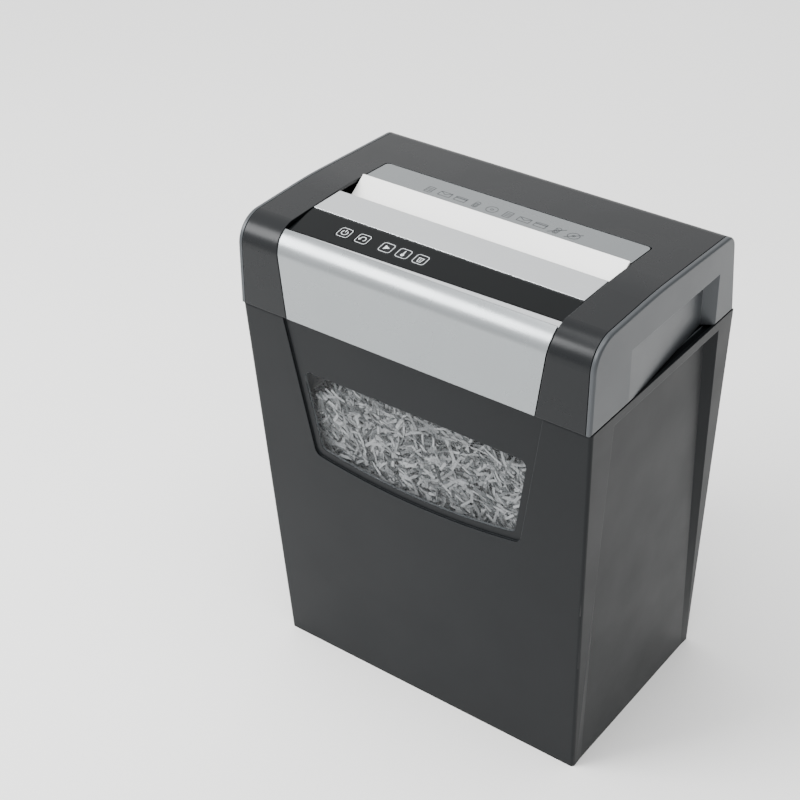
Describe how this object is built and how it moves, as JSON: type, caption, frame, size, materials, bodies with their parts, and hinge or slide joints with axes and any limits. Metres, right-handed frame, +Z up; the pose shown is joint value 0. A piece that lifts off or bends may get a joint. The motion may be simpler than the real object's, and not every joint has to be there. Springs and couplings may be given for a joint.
{
  "type": "paper shredder",
  "caption": "Deskside cross-cut paper shredder: tapered waste bin with a clear window and a lift-off cutter head with throat, keys and status lamps.",
  "frame": {"origin": "on the floor under the middle of the overall box", "axes": "+Z up, +X to the object's right, the front with the window faces -Y"},
  "size_m": [0.35, 0.232, 0.4633],
  "materials": {
    "graphite_plastic": "satin moulded",
    "grey_plastic": "satin painted",
    "silver_plastic": "satin silver",
    "black_gloss": "high gloss",
    "white_plastic": "gloss",
    "clear_plastic": "clear moulded",
    "shreds": "cross-cut paper",
    "skirt_plastic": "satin moulded",
    "zinc_steel": "zinc plated",
    "cutter_steel": "hardened",
    "bearing_brass": "sintered bronze",
    "comb_plastic": "moulded",
    "gear_plastic": "moulded acetal",
    "motor_steel": "painted can",
    "circuit_board": "solder mask",
    "component_plastic": "moulded",
    "lamp_lens": "tinted",
    "lamp": "clear dome"
  },
  "bodies": {
    "bin": {"bin_shell": "graphite_plastic", "bin_window": "clear_plastic", "shredded_paper": "shreds"},
    "head": {"top_housing": "graphite_plastic", "left_side_cover": "grey_plastic", "right_side_cover": "grey_plastic", "front_panel": "silver_plastic", "control_strip": "black_gloss", "strip_trim": "silver_plastic", "front_throat_strip": "silver_plastic", "rear_throat_guide": "white_plastic", "rear_strip": "silver_plastic", "lower_housing": "skirt_plastic", "left_side_plate": "zinc_steel", "right_side_plate": "zinc_steel", "tie_rods": "zinc_steel", "chassis_screws": "zinc_steel", "shaft_bushes": "bearing_brass", "front_stripper_comb": "comb_plastic", "rear_stripper_comb": "comb_plastic", "gearbox_case": "zinc_steel", "motor_body": "motor_steel", "idler_axle": "zinc_steel", "idler_clip": "zinc_steel", "power_board": "circuit_board", "power_board_spacers": "comb_plastic", "power_board_parts": "component_plastic", "control_board": "circuit_board", "board_spacers": "comb_plastic", "key_switches": "component_plastic", "indicator_lenses": "lamp_lens", "indicator_lamps": "lamp", "start_switch": "component_plastic", "lever_lugs": "white_plastic", "lever_pin": "zinc_steel", "interlock_switch": "component_plastic", "cord_gland": "comb_plastic", "housing_screws": "zinc_steel"},
    "front_cutter": {"front_cutter": "cutter_steel", "front_sync_gear": "zinc_steel"},
    "rear_cutter": {"rear_cutter": "cutter_steel", "rear_sync_gear": "zinc_steel", "drive_gear": "gear_plastic"},
    "idler": {"idler_gear": "gear_plastic"},
    "output_pinion": {"output_shaft": "zinc_steel", "drive_pinion": "zinc_steel"},
    "power_key": {"power_key": "black_gloss"},
    "reverse_key": {"reverse_key": "black_gloss"},
    "start_lever": {"auto_start_lever": "white_plastic"}
  },
  "joints": [
    {"name": "head_lift", "type": "slide", "parent": "bin", "child": "head", "axis": [0, 0, 1], "range_m": [0, 0.1035]},
    {"name": "rear_cutter_spin", "type": "hinge", "parent": "head", "child": "rear_cutter", "pos_m": [0, -0.0045, 0.395], "axis": [1, 0, 0], "continuous": true},
    {"name": "front_cutter_spin", "type": "hinge", "parent": "head", "child": "front_cutter", "pos_m": [0, -0.0385, 0.395], "axis": [1, 0, 0], "continuous": true},
    {"name": "idler_spin", "type": "hinge", "parent": "head", "child": "idler", "pos_m": [0, 0.03704, 0.40121], "axis": [1, 0, 0], "continuous": true},
    {"name": "output_pinion_spin", "type": "hinge", "parent": "head", "child": "output_pinion", "pos_m": [0, 0.06226, 0.40498], "axis": [1, 0, 0], "continuous": true},
    {"name": "power_key_press", "type": "slide", "parent": "head", "child": "power_key", "axis": [0, 0.1426, -0.9898], "range_m": [0, 0.0008], "stiffness_N_per_m": 600, "springref_m": -0.0004},
    {"name": "reverse_key_press", "type": "slide", "parent": "head", "child": "reverse_key", "axis": [0, 0.1426, -0.9898], "range_m": [0, 0.0008], "stiffness_N_per_m": 600, "springref_m": -0.0004},
    {"name": "start_lever_swing", "type": "hinge", "parent": "head", "child": "start_lever", "pos_m": [0, -0.009, 0.437], "axis": [1, 0, 0], "range_deg": [0, 25], "stiffness_Nm_per_rad": 0.004, "springref_deg": -20.05}
  ],
  "couplings": [
    {"joint": "front_cutter_spin", "follows": "rear_cutter_spin", "ratio": -1},
    {"joint": "idler_spin", "follows": "rear_cutter_spin", "ratio": -1.8},
    {"joint": "output_pinion_spin", "follows": "rear_cutter_spin", "ratio": 2.5714}
  ]
}
